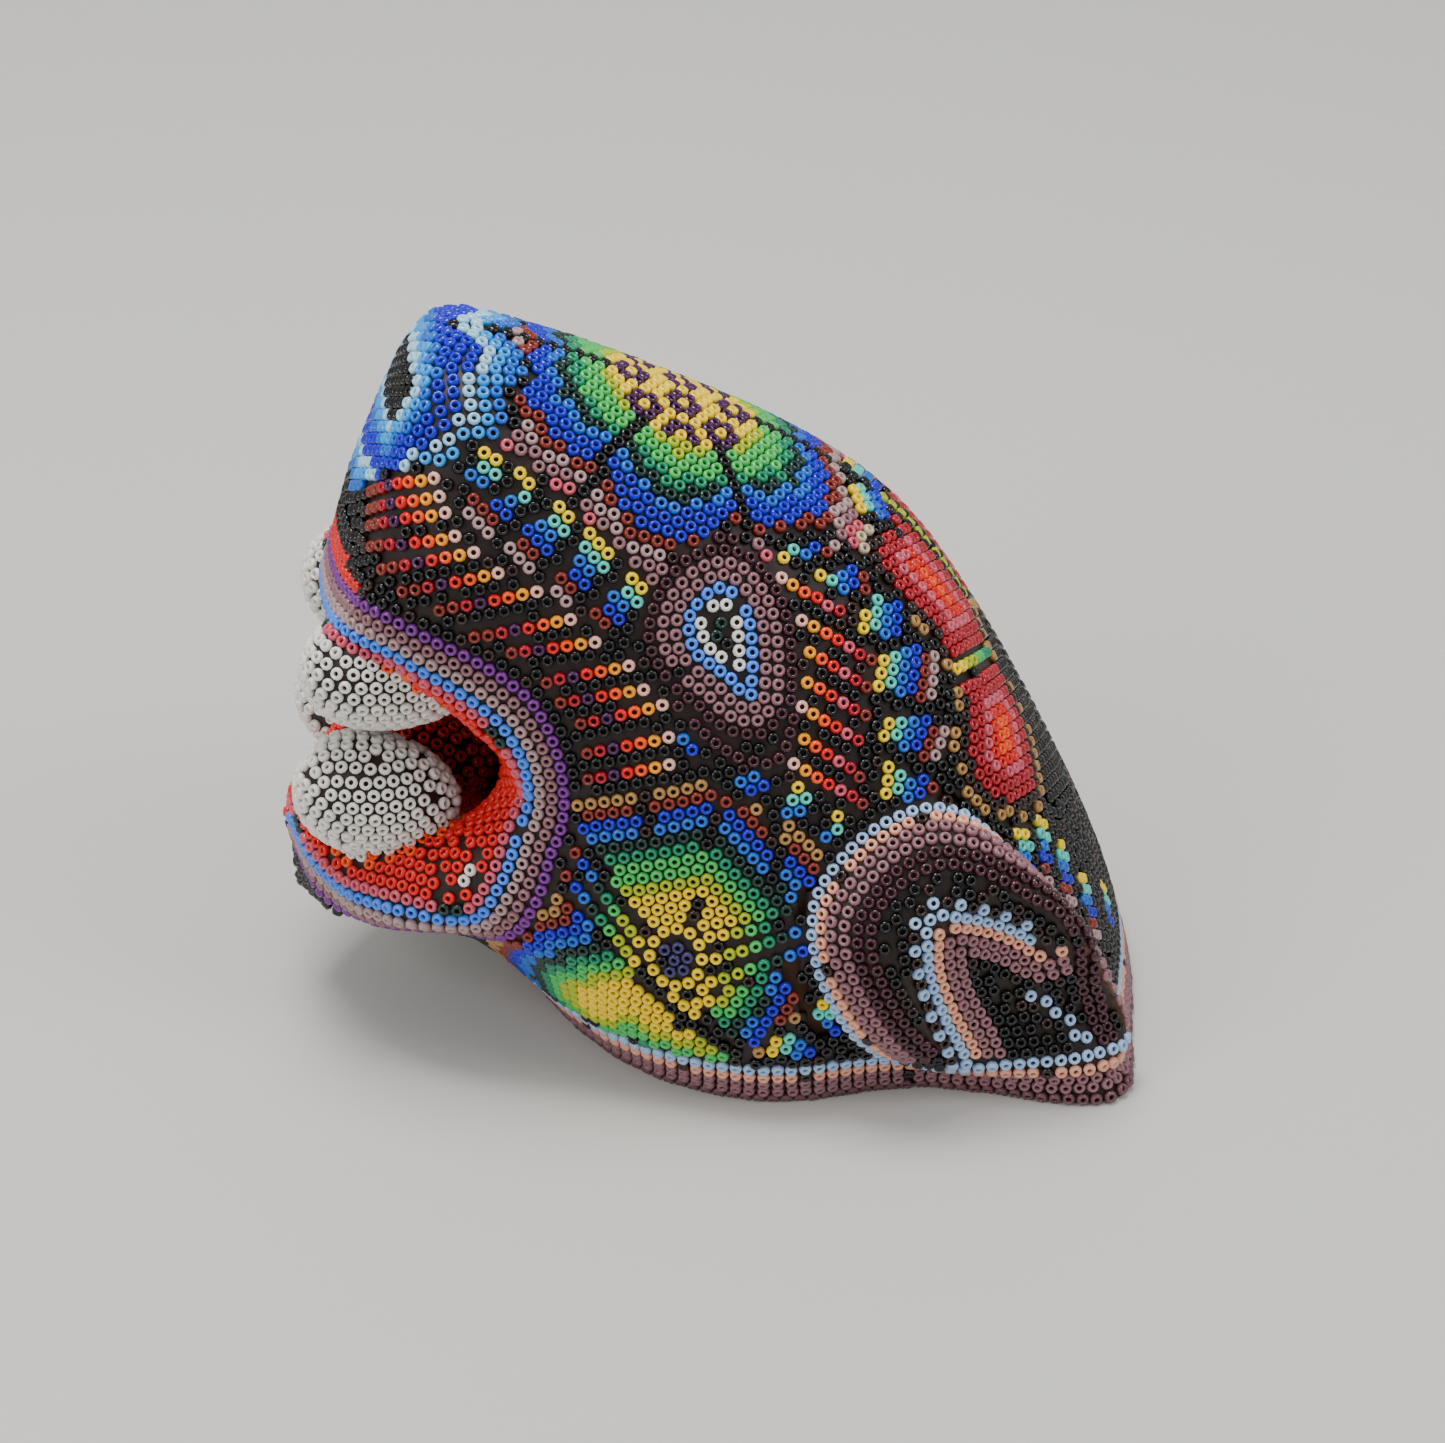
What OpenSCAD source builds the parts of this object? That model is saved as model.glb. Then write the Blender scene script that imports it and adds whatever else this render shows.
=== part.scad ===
// Beaded big-cat head: a hollow carved head that lies on its flat neck cut, coated with
// beeswax and covered with glass seed beads, mouth open, fangs bared and ears laid back.
// +Z is up from the neck cut, -X is the muzzle side and Y = 0 is the plane of symmetry.

/* [Head] */
// Length of the head from the chin to the nape
head_len = 141; // [110:1:175]
// Width of the neck cut across the ear tips
head_w = 100; // [80:1:125]
// Height of the nose above the neck cut
head_h = 117; // [95:1:150]

/* [Layers] */
// Thickness of the bead layer
bead_h = 1.5; // [1:0.1:2.2]
// Thickness of the beeswax that holds the beads
wax_t = 1.2; // [0.6:0.1:2]

/* [Ears] */
// How far the ridge of an ear stands out of the head
ear_rise = 9; // [6:0.5:12]
// Depth of the hollow inside an ear, below its ridge
ear_dip = 5.5; // [3:0.5:8]

/* [Mouth] */
// Length of an upper fang along the jaw
upper_fang_len = 28; // [22:0.5:33]
// Length of a lower fang along the jaw
lower_fang_len = 28; // [22:0.5:32]
// Width of a fang across the jaw
fang_w = 20; // [14:0.5:22]
// Length of the tongue
tongue_len = 31; // [24:0.5:36]
// Width of the tongue
tongue_w = 18; // [12:0.5:21]

/* [Hidden] */

// The carver's net: hoops of seven points [x, half width, z] that run from the forehead line
// over brow, temple, cheek and jaw to the throat line. The first hoop is the neck cut, the
// twelfth the crest of the lips, and the last three line the mouth as far as the throat.
NET = [
  [[69, 0, 0], [65, 30, 0], [58.5, 50, 0], [29, 41.5, 0], [3, 43.5, 0], [-19, 30, 0], [-32, 0, 0]],
  [[64, 0, 17], [60, 28, 16], [51, 45, 14], [25, 46, 13], [1, 48, 12], [-23, 34, 10], [-37, 0, 6]],
  [[56, 0, 36], [52, 26, 34], [42, 42, 32], [18, 47, 29], [-4, 47, 24], [-27, 35, 18], [-43, 0, 11]],
  [[43, 0, 61], [40, 24, 58], [29, 38, 52], [10, 44, 44], [-9, 44, 34], [-31, 36, 24], [-49, 0, 15]],
  [[30, 0, 81], [26, 22, 77], [15, 34, 69], [0, 40, 57], [-14, 42, 42], [-35, 35, 26], [-54, 0, 18]],
  [[13, 0, 95], [9, 20, 90], [0, 30, 81], [-10, 37, 66], [-19, 40, 47], [-38, 34, 27], [-59, 0, 19]],
  [[-8, 0, 106], [-11, 18, 101], [-16, 28, 92], [-21, 34, 73], [-23, 38, 50], [-41, 34, 28], [-65, 0, 20]],
  [[-28, 0, 114], [-29, 17, 109], [-32, 26, 98], [-32, 32, 78], [-26, 37, 51], [-44, 33, 28], [-69, 0, 17]],
  [[-44, 0, 117], [-45, 16, 112], [-44, 25, 97], [-40, 31, 80], [-28, 36, 51], [-48, 32, 28], [-71, 0, 20]],
  [[-56, 0, 98], [-55, 15, 94], [-53, 24, 88], [-46, 30, 77], [-29, 36, 51], [-52, 31, 27], [-71, 0, 26]],
  [[-62, 0, 80], [-60, 15, 79], [-57, 23, 78], [-49, 29, 74], [-30, 35, 51], [-54, 30, 29], [-72, 0, 32]],
  [[-64, 0, 73], [-62, 14, 73], [-58, 22, 72], [-50, 27, 70], [-32, 34, 51], [-55, 28, 33], [-70, 0, 38]],
  [[-60, 0, 69], [-58, 13, 69], [-54, 20, 68], [-47, 24, 66], [-34, 30, 51], [-54, 24, 37], [-66, 0, 40]],
  [[-50, 0, 67], [-49, 12, 67], [-47, 18, 66], [-42, 21, 62], [-36, 25, 50], [-49, 20, 39], [-57, 0, 38]],
  [[-39, 0, 65], [-39, 9, 64], [-38, 15, 62], [-37, 18, 57], [-37, 20, 50], [-39, 16, 41], [-42, 0, 38]],
];
// The hollow: hoops from just behind the throat to the inner edge of the neck cut.
HOLLOW = [
  [[-33, 0, 69], [-33, 10, 68], [-32, 17, 65], [-31, 21, 59], [-31, 23, 50], [-31, 18, 38], [-33, 0, 31]],
  [[-12, 0, 92], [-12, 13, 88], [-12, 21, 80], [-13, 26, 66], [-15, 28, 48], [-22, 25, 31], [-31, 0, 25]],
  [[20, 0, 78], [17, 14, 75], [9, 24, 67], [0, 30, 53], [-9, 32, 38], [-21, 25, 23], [-29, 0, 18]],
  [[44, 0, 47], [41, 18, 45], [33, 31, 40], [13, 35, 32], [-2, 35, 23], [-18, 25, 13], [-26, 0, 9]],
  [[60, 0, 0], [57, 25, 0], [49, 40, 0], [25, 32, 0], [5, 34, 0], [-13, 22, 0], [-24, 0, 0]],
];
net_size = [141, 100, 117];  // length and height of the net, and the width of its neck cut
rings = 3;                   // hoops per station of the net
sides = 3;                   // points between two lines of the net
stations = len(NET) - 1;
around = 12 * sides;         // points round one hoop
crown = len(NET[0]) - 1;
ear_stations = 4;            // stations from the neck cut that an ear can lie over

grow = [head_len / net_size[0], head_w / net_size[1], head_h / net_size[2]];

function times(v, k) = [v[0] * k[0], v[1] * k[1], v[2] * k[2]];
function unit(v) = v / norm(v);
// Catmull-Rom curve through b and c, with a and d before and after them.
function curve(a, b, c, d, t) =
    (2 * b + (c - a) * t + (2 * a - 5 * b + 4 * c - d) * t * t + (3 * b - a - 3 * c + d) * t * t * t) / 2;
// A whole hoop: the left half, then the right half back up to the forehead line.
function hoop(half) = [
    for (p = half) times([p[0], -p[1], p[2]], grow),
    for (i = [crown - 1:-1:1]) times(half[i], grow),
];
function hoops(net) = [for (half = net) hoop(half)];
// A station before the first or after the last carries straight on.
function station(net, k) =
    k < 0 ? 2 * net[0] - net[1] : k >= len(net) ? 2 * net[len(net) - 1] - net[len(net) - 2] : net[k];
// The hoop at station s, which need not be whole, still with one point per line of the net.
function between(net, s) =
    let (k = min(floor(s), len(net) - 2))
    curve(station(net, k - 1), net[k], net[k + 1], station(net, k + 2), s - k);
// The point at line a of a hoop, from 0 at the forehead line once round to 12.
function on_hoop(ring, a) =
    let (n = len(ring), k = floor(a))
    curve(ring[(k + n - 1) % n], ring[k % n], ring[(k + 1) % n], ring[(k + 2) % n], a - k);
function grid(net, last, step) = [
    for (i = [0:last])
        let (ring = between(net, i / step))
        [for (j = [0:around - 1]) on_hoop(ring, j / sides)]
];

FACE_NET = hoops(NET);
FACE = grid(FACE_NET, stations * rings, rings);
rows = len(FACE) - 1;
// Outward direction at row i and side j of the finished face.
function normal(i, j) =
    unit(cross(FACE[i][(j + around - 1) % around] - FACE[i][(j + 1) % around],
        FACE[min(i + 1, rows)][j] - FACE[max(i - 1, 0)][j]));
NORMAL = [for (i = [0:rows]) [for (j = [0:around - 1]) normal(i, j)]];
// The face moved inwards by d. The neck cut stays flat on the table.
function inset(d) = [
    for (i = [0:rows])
        [for (j = [0:around - 1])
            let (p = FACE[i][j] - d * NORMAL[i][j])
            i == 0 ? [p[0], p[1], 0] : p]
];
WAX_FACE = inset(bead_h);
CORE_FACE = inset(bead_h + wax_t);
// The base's middle is the origin.
all_x = [for (ring = FACE, p = ring) p[0]];
mid_x = (min(all_x) + max(all_x)) / 2;

module centred() {
    translate([-mid_x, 0, 0])
        children();
}

// Two triangles of one cell, with the diagonal always the same way.
function cell(a, b, c, d) = [[a, b, c], [a, c, d]];
function flatten(lists) = [for (l = lists, v = l) v];

// A closed shell between two grids of the same size, over the cells that the mask keeps.
module shell(outer, inner, mask) {
    n = len(outer[0]);
    m = len(outer);
    count = n * m;
    function at(i, j) = i * n + (j + n) % n;
    function kept(i, j) = i >= 0 && i < m - 1 && mask[i][(j + n) % n];
    polyhedron(
        points = concat(flatten(outer), flatten(inner)),
        faces = [for (i = [0:m - 2], j = [0:n - 1]) if (kept(i, j))
            each concat(
                cell(at(i, j), at(i + 1, j), at(i + 1, j + 1), at(i, j + 1)),
                [for (t = cell(at(i, j), at(i + 1, j), at(i + 1, j + 1), at(i, j + 1)))
                    [count + t[0], count + t[2], count + t[1]]],
                kept(i - 1, j) ? [] : wall(at(i, j), at(i, j + 1), count),
                kept(i + 1, j) ? [] : wall(at(i + 1, j + 1), at(i + 1, j), count),
                kept(i, j - 1) ? [] : wall(at(i + 1, j), at(i, j), count),
                kept(i, j + 1) ? [] : wall(at(i, j + 1), at(i + 1, j + 1), count))]);
}

// The side of a shell below its edge from a to b.
function wall(a, b, count) = cell(a, b, count + b, count + a);

// ---- Core and wax ----

// Hoops of the whole core in order: outside, lips, mouth, hollow, back to the neck cut.
module head_core() {
    hollow = grid(hoops(HOLLOW), (len(HOLLOW) - 1) * 2, 2);
    loops = concat(CORE_FACE, hollow);
    n = around;
    m = len(loops);
    color("saddlebrown")
        centred()
            polyhedron(
                points = flatten(loops),
                faces = [for (i = [0:m - 1], j = [0:n - 1])
                    let (k = (i + 1) % m, l = (j + 1) % n)
                    each cell(i * n + j, k * n + j, k * n + l, i * n + l)]);
}

module wax_coat() {
    color("sienna")
        centred()
            shell(WAX_FACE, CORE_FACE, [for (i = [0:rows - 1]) [for (j = [0:around - 1]) true]]);
}

// ---- Ears ----

// Outline of the left ear on the head as [station, line], with where its ridge lies from the
// middle of the ear (0) to the outline (1) and how much of the full rise it has there.
EAR = [
    [0.45, 2.95, 0.65, 0.35], [0.95, 3.25, 0.60, 0.6], [1.60, 3.38, 0.55, 0.7], [2.40, 3.25, 0.60, 0.75],
    [2.85, 2.85, 0.60, 0.75], [3.00, 2.35, 0.63, 0.75], [2.80, 1.90, 0.62, 0.85], [2.25, 1.72, 0.65, 1],
    [1.60, 1.62, 0.75, 0.85], [0.95, 1.55, 0.84, 0.6], [0.46, 1.52, 0.87, 0.4], [0.39, 2.00, 0.72, 0.25],
    [0.39, 2.50, 0.72, 0.2],
];
ear_mid = [1.25, 2.17];      // middle of the ear's hollow, as [station, line]
ear_around = 26;
// How far out each hoop of the ear lies between its middle, its ridge and its outline.
EAR_HOOPS = [[0, 0], [0.5, 0], [0.85, 0], [1, 0], [1, 0.35], [1, 0.75], [1, 1]];
// Height of each of those hoops for an ear that rises so far, with the dip taken off inside
// the ridge but at least a millimetre of wood left over the wax.
function ear_height(k, rise) =
    k >= 3 ? rise * [1, 0.92, 0.55, 0][k - 3] : max(rise - ear_dip * [1, 0.9, 0.35][k], 1.2 + 0.4 * k);

function ear_control(t) =
    let (n = len(EAR), k = floor(t))
    curve(EAR[(k + n - 1) % n], EAR[k % n], EAR[(k + 1) % n], EAR[(k + 2) % n], t - k);
// A point of the head at station s and line a, with the outward direction there.
function on_face(s, a) = on_hoop(between(FACE_NET, s), a);
function face_normal(s, a) =
    unit(cross(on_face(s, a - 0.1) - on_face(s, a + 0.1), on_face(s + 0.1, a) - on_face(s - 0.1, a)));

function ear_spot(k, t) =
    let (c = ear_control(t), edge = [c[0], c[1]], ridge = ear_mid + (edge - ear_mid) * c[2],
        h = EAR_HOOPS[k])
    h[1] > 0 ? ridge + (edge - ridge) * h[1] : ear_mid + (ridge - ear_mid) * h[0];
// Hoops of one ear raised by a share of its rise, d above the wax.
function ear_grid(raised, d) = [
    for (k = [0:6])
        [for (j = [0:ear_around - 1])
            let (t = j * len(EAR) / ear_around, c = ear_control(t), spot = ear_spot(k, t),
                rise = raised ? ear_height(k, ear_rise * c[3]) : 0)
            on_face(spot[0], spot[1]) + (rise + d - bead_h) * face_normal(spot[0], spot[1])]
];
EAR_OUTLINE = [for (j = [0:ear_around - 1]) let (c = ear_control(j / 2)) [c[0], c[1]]];

// The form of an ear: its top and bottom meet along the outline and share the hoop there.
module ear_form() {
    top = ear_grid(true, 0);
    bottom = ear_grid(false, 0);
    n = ear_around;
    function up(k, j) = k == 0 ? 0 : 1 + (k - 1) * n + (j % n);
    function down(k, j) = k == 6 ? up(k, j) : k == 0 ? 1 + 6 * n : 2 + 6 * n + (k - 1) * n + (j % n);
    centred()
        polyhedron(
            points = concat([top[0][0]], [for (k = [1:6]) each top[k]],
                [bottom[0][0]], [for (k = [1:5]) each bottom[k]]),
            faces = [for (k = [0:5], j = [0:n - 1]) each concat(
                k == 0 ? [] : [[up(k, j), up(k, j + 1), up(k + 1, j + 1)],
                    [down(k, j), down(k + 1, j + 1), down(k, j + 1)]],
                [[up(k, j), up(k + 1, j + 1), up(k + 1, j)],
                    [down(k, j), down(k + 1, j), down(k + 1, j + 1)]])]);
}

// The beads over an ear: one layer that follows its form.
module ear_layer() {
    outer = ear_grid(true, bead_h);
    inner = ear_grid(true, 0);
    n = ear_around;
    half = 1 + 6 * n;
    function up(k, j) = k == 0 ? 0 : 1 + (k - 1) * n + (j % n);
    centred()
        polyhedron(
            points = concat([outer[0][0]], [for (k = [1:6]) each outer[k]],
                [inner[0][0]], [for (k = [1:6]) each inner[k]]),
            faces = [for (k = [0:5], j = [0:n - 1]) each concat(
                k == 0 ? [] : [[up(k, j), up(k, j + 1), up(k + 1, j + 1)],
                    [half + up(k, j), half + up(k + 1, j + 1), half + up(k, j + 1)]],
                [[up(k, j), up(k + 1, j + 1), up(k + 1, j)],
                    [half + up(k, j), half + up(k + 1, j), half + up(k + 1, j + 1)]],
                k < 5 ? [] : wall(up(6, j), up(6, j + 1), half))]);
}

module ear_left() {
    color("sienna") ear_form();
}

module ear_right() {
    color("sienna") mirror([0, 1, 0]) ear_form();
}

// ---- Fangs and tongue ----

// A smooth lump: an ellipsoid of half sizes r from its tip along +Z down to the angle end,
// thicker towards -X by the share taper.
function lump_spot(r, lat, lon, taper) =
    let (x = r[0] * sin(lat) * cos(lon), f = 1 - taper * x / r[0])
    [x, r[1] * f * sin(lat) * sin(lon), r[2] * f * cos(lat)];
lump_rings = 7;
lump_sides = 16;

module lump(r, end, taper) {
    n = lump_sides;
    m = lump_rings;
    polyhedron(
        points = concat([lump_spot(r, 0, 0, taper)],
            [for (k = [1:m], j = [0:n - 1]) lump_spot(r, end * k / m, 360 * j / n, taper)],
            [[0, 0, r[2] * cos(end)]]),
        faces = [for (k = [0:m], j = [0:n - 1])
            let (a = 1 + (k - 1) * n + j, b = 1 + (k - 1) * n + (j + 1) % n)
            each (k == 0 ? [[0, 1 + (j + 1) % n, 1 + j]]
                : k == m ? [[a, b, 1 + m * n]]
                : [[a, b, b + n], [a, b + n, a + n]])]);
}

// The beads over a lump, down to the angle end.
module lump_layer(r, end, taper) {
    n = lump_sides;
    m = lump_rings;
    outer = r + [bead_h, bead_h, bead_h];
    half = 1 + m * n;
    polyhedron(
        points = [for (s = [outer, r])
            each concat([lump_spot(s, 0, 0, taper)],
                [for (k = [1:m], j = [0:n - 1]) lump_spot(s, end * k / m, 360 * j / n, taper)])],
        faces = [for (k = [0:m], j = [0:n - 1])
            let (a = 1 + (k - 1) * n + j, b = 1 + (k - 1) * n + (j + 1) % n)
            each (k == 0 ? [[0, 1 + (j + 1) % n, 1 + j], [half, half + 1 + j, half + 1 + (j + 1) % n]]
                : k == m ? wall(a, b, half)
                : concat(cell(a, b, b + n, a + n),
                    [[half + a, half + b + n, half + b], [half + a, half + a + n, half + b + n]]))]);
}

// Half sizes without beads: along the jaw, across it, and from the root to the tip.
upper_fang_r = [upper_fang_len / 2 - bead_h, fang_w / 2 - bead_h, 7.5];
lower_fang_r = [lower_fang_len / 2 - bead_h, fang_w / 2 - bead_h, 9.5];
tongue_r = [tongue_len / 2 - bead_h, tongue_w / 2 - bead_h, 8];
root_end = 150;              // angle from the tip at which a fang or the tongue ends in the jaw
bead_end = 140;              // angle from the tip that its beads reach

module upper_fang_place() {
    centred()
        translate(times([-53.8, -16.5, 65.5], grow))
            rotate([152, 8, -12])
                children();
}

module lower_fang_place() {
    centred()
        translate(times([-56, -16.5, 44.3], grow))
            rotate([22, 8, -8])
                children();
}

module tongue_place() {
    centred()
        translate(times([-51, 0, 41], grow))
            rotate([0, 4, 0])
                children();
}

module tongue() {
    color("firebrick") tongue_place() lump(tongue_r, root_end, 0);
}

module upper_fang_left() {
    color("bisque") upper_fang_place() lump(upper_fang_r, root_end, 0.3);
}

module upper_fang_right() {
    color("bisque") mirror([0, 1, 0]) upper_fang_place() lump(upper_fang_r, root_end, 0.3);
}

module lower_fang_left() {
    color("bisque") lower_fang_place() lump(lower_fang_r, root_end, 0.15);
}

module lower_fang_right() {
    color("bisque") mirror([0, 1, 0]) lower_fang_place() lump(lower_fang_r, root_end, 0.15);
}

module tongue_beads() {
    color("red") tongue_place() lump_layer(tongue_r, bead_end, 0);
}

module upper_fang_beads_left() {
    color("white") upper_fang_place() lump_layer(upper_fang_r, bead_end, 0.3);
}

module upper_fang_beads_right() {
    color("white")
        mirror([0, 1, 0]) upper_fang_place() lump_layer(upper_fang_r, bead_end, 0.3);
}

module lower_fang_beads_left() {
    color("white") lower_fang_place() lump_layer(lower_fang_r, bead_end, 0.15);
}

module lower_fang_beads_right() {
    color("white")
        mirror([0, 1, 0]) lower_fang_place() lump_layer(lower_fang_r, bead_end, 0.15);
}

// ---- Bead fields ----

// Is the point p inside the closed outline?
function crossings(p, line) = [
    for (i = [0:len(line) - 1])
        let (a = line[i], b = line[(i + 1) % len(line)])
        if ((a[1] > p[1]) != (b[1] > p[1])
            && p[0] < a[0] + (b[0] - a[0]) * (p[1] - a[1]) / (b[1] - a[1])) 1
];
function inside(p, line) = len(crossings(p, line)) % 2 == 1;
// Is any corner of the cell of row i and line h on the ear?
function under_ear(i, h) =
    i < ear_stations * rings
    && len([for (u = [0, 1], v = [0, 1])
        if (inside([(i + u) / rings, (h + v) / sides], EAR_OUTLINE)) 1]) > 0;

// The field that owns each cell, by its row i and its line h from the forehead line (0) to the
// throat line (17), as on the left side. The first window that holds a cell takes it.
// Each window: name, first row, last row, first line, last line.
FIELDS = [
    ["rim", 0, 1, 0, 17],
    ["mouth", 34, 41, 0, 17],
    ["lip", 29, 33, 0, 17],
    ["lip", 22, 28, 10, 13],
    ["nape", 2, 4, 0, 4],
    ["forehead", 5, 12, 0, 3],
    ["nose", 22, 28, 0, 4],
    ["eye", 12, 16, 5, 7],
    ["bridge", 13, 21, 0, 5],
    ["cheekbone", 17, 21, 6, 6],
    ["whisker", 22, 28, 5, 9],
    ["whisker", 17, 21, 7, 11],
    ["whisker", 14, 16, 8, 11],
    ["temple", 2, 13, 4, 8],
    ["cheek", 2, 13, 9, 14],
    ["chin", 2, 28, 12, 17],
];
function holds(f, i, h) = i >= f[1] && i <= f[2] && h >= f[3] && h <= f[4];
function owner(i, h) = [for (f = FIELDS) if (holds(f, i, h)) f[0]][0];
function line_of(j) = min(j, around - 1 - j);

// One field of beads. The side is "left", "right" or "both".
module field(name, side = "both") {
    mask = [
        for (i = [0:rows - 1])
            [for (j = [0:around - 1])
                owner(i, line_of(j)) == name
                && (side == "both" || (side == "left") == (j < around / 2))
                && !under_ear(i, line_of(j))]
    ];
    centred()
        shell(FACE, WAX_FACE, mask);
}

module rim_beads() { color("rosybrown") field("rim"); }
module nape_beads() { color("darkgoldenrod") field("nape"); }
module forehead_beads() { color("crimson") field("forehead"); }
module bridge_flower_beads() { color("limegreen") field("bridge"); }
module nose_beads() { color("deepskyblue") field("nose"); }
module temple_beads_left() { color("orangered") field("temple", "left"); }
module temple_beads_right() { color("orangered") field("temple", "right"); }
module eye_beads_left() { color("lavender") field("eye", "left"); }
module eye_beads_right() { color("lavender") field("eye", "right"); }
module cheekbone_beads_left() { color("turquoise") field("cheekbone", "left"); }
module cheekbone_beads_right() { color("turquoise") field("cheekbone", "right"); }
module whisker_beads_left() { color("darkorange") field("whisker", "left"); }
module whisker_beads_right() { color("darkorange") field("whisker", "right"); }
module cheek_flower_beads_left() { color("yellowgreen") field("cheek", "left"); }
module cheek_flower_beads_right() { color("yellowgreen") field("cheek", "right"); }
module chin_beads() { color("dimgray") field("chin"); }
module lip_beads() { color("mediumpurple") field("lip"); }
module mouth_beads() { color("red") field("mouth"); }
module ear_beads_left() { color("lightpink") ear_layer(); }
module ear_beads_right() { color("lightpink") mirror([0, 1, 0]) ear_layer(); }

head_core();
wax_coat();
ear_left();
ear_right();
tongue();
upper_fang_left();
upper_fang_right();
lower_fang_left();
lower_fang_right();
rim_beads();
nape_beads();
forehead_beads();
bridge_flower_beads();
nose_beads();
temple_beads_left();
temple_beads_right();
eye_beads_left();
eye_beads_right();
cheekbone_beads_left();
cheekbone_beads_right();
whisker_beads_left();
whisker_beads_right();
cheek_flower_beads_left();
cheek_flower_beads_right();
chin_beads();
lip_beads();
mouth_beads();
ear_beads_left();
ear_beads_right();
tongue_beads();
upper_fang_beads_left();
upper_fang_beads_right();
lower_fang_beads_left();
lower_fang_beads_right();
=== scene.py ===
import heapq
import math
import random

import bmesh
import bpy
from mathutils import Matrix, Vector
from mathutils.bvhtree import BVHTree


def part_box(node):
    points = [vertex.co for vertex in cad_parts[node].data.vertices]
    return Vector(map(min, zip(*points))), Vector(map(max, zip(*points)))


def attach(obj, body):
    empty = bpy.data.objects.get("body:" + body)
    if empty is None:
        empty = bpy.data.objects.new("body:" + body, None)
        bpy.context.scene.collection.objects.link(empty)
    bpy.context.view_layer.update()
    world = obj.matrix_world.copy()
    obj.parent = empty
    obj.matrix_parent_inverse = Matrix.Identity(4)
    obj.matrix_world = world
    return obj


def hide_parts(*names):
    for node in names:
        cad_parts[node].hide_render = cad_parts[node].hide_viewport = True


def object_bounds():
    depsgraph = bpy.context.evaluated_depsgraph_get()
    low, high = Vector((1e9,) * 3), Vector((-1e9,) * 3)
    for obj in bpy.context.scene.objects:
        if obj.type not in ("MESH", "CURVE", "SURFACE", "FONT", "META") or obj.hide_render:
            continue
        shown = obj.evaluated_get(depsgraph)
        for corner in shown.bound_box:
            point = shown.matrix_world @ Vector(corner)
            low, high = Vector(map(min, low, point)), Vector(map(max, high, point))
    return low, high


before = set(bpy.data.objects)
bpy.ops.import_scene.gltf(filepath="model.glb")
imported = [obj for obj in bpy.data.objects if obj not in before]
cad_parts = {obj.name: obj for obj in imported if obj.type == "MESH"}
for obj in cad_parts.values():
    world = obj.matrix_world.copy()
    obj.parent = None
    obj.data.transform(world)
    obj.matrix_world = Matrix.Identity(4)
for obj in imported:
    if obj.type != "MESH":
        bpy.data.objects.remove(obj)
cad_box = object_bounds()
LOW, HIGH = cad_box
MM = 0.001

# ---- Carved head: the core, two ears, four fangs and the tongue ----
# One block of soft wood, hollowed from the neck cut up to the throat, with the ears, fangs and
# tongue carved or set on it. It is left bare inside, and shows only past the open mouth.


def linear(code):
    """An sRGB hex colour as linear RGBA."""
    parts = [int(code[k:k + 2], 16) / 255 for k in (1, 3, 5)]
    return [*(p / 12.92 if p <= 0.04045 else ((p + 0.055) / 1.055) ** 2.4 for p in parts), 1.0]


def add(tree, kind, settings, inputs):
    """Adds a node, sets it, and links or sets its inputs."""
    made = tree.nodes.new(kind)
    for name, value in settings.items():
        setattr(made, name, value)
    for name, value in inputs.items():
        if isinstance(value, bpy.types.NodeSocket):
            tree.links.new(value, made.inputs[name])
        else:
            made.inputs[name].default_value = value
    return made


def new_material(name):
    """An empty material with its output node."""
    made = bpy.data.materials.new(name)
    made.use_nodes = True
    made.node_tree.nodes.clear()
    return made, made.node_tree


# Knife-carved softwood, oiled brown by the wax: matt, with grain 2 mm wide along the head.
carved_wood, tree = new_material("carved_softwood")
where = add(tree, "ShaderNodeTexCoord", {}, {})
along = add(tree, "ShaderNodeMapping", {}, {"Vector": where.outputs["Object"], "Scale": (0.25, 1, 1)})
grain = add(tree, "ShaderNodeTexNoise", {}, {
    "Vector": along.outputs["Vector"], "Scale": 1 / (2 * MM), "Detail": 4.0, "Distortion": 0.4})
tint = add(tree, "ShaderNodeMix", {"data_type": "RGBA"}, {
    "Factor": grain.outputs["Fac"], "A": linear("#2E170C"), "B": linear("#6B4326")})
ridge = add(tree, "ShaderNodeBump", {}, {
    "Height": grain.outputs["Fac"], "Strength": 0.4, "Distance": 0.3 * MM})
wood = add(tree, "ShaderNodeBsdfPrincipled", {}, {
    "Base Color": tint.outputs["Result"], "Roughness": 0.7, "Normal": ridge.outputs["Normal"]})
add(tree, "ShaderNodeOutputMaterial", {}, {"Surface": wood.outputs["BSDF"]})

CARVED = ["head_core", "ear_left", "ear_right", "tongue", "upper_fang_left", "upper_fang_right",
          "lower_fang_left", "lower_fang_right"]
for name in CARVED:
    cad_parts[name].data.materials.clear()
    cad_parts[name].data.materials.append(carved_wood)

# ---- Wax coat ----
# Beeswax, warmed and thumbed over the wood 1 to 2 mm thick. It follows the carving softly, and
# shows in the bead holes and in the gaps between the beads, where its dark brown is painted down to near
# black as painted shade.
VOXEL = 1.25 * MM         # finest step that the thumbed wax keeps
SUNK = 0.35 * MM          # how far the wax stands up round a pressed bead

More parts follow.
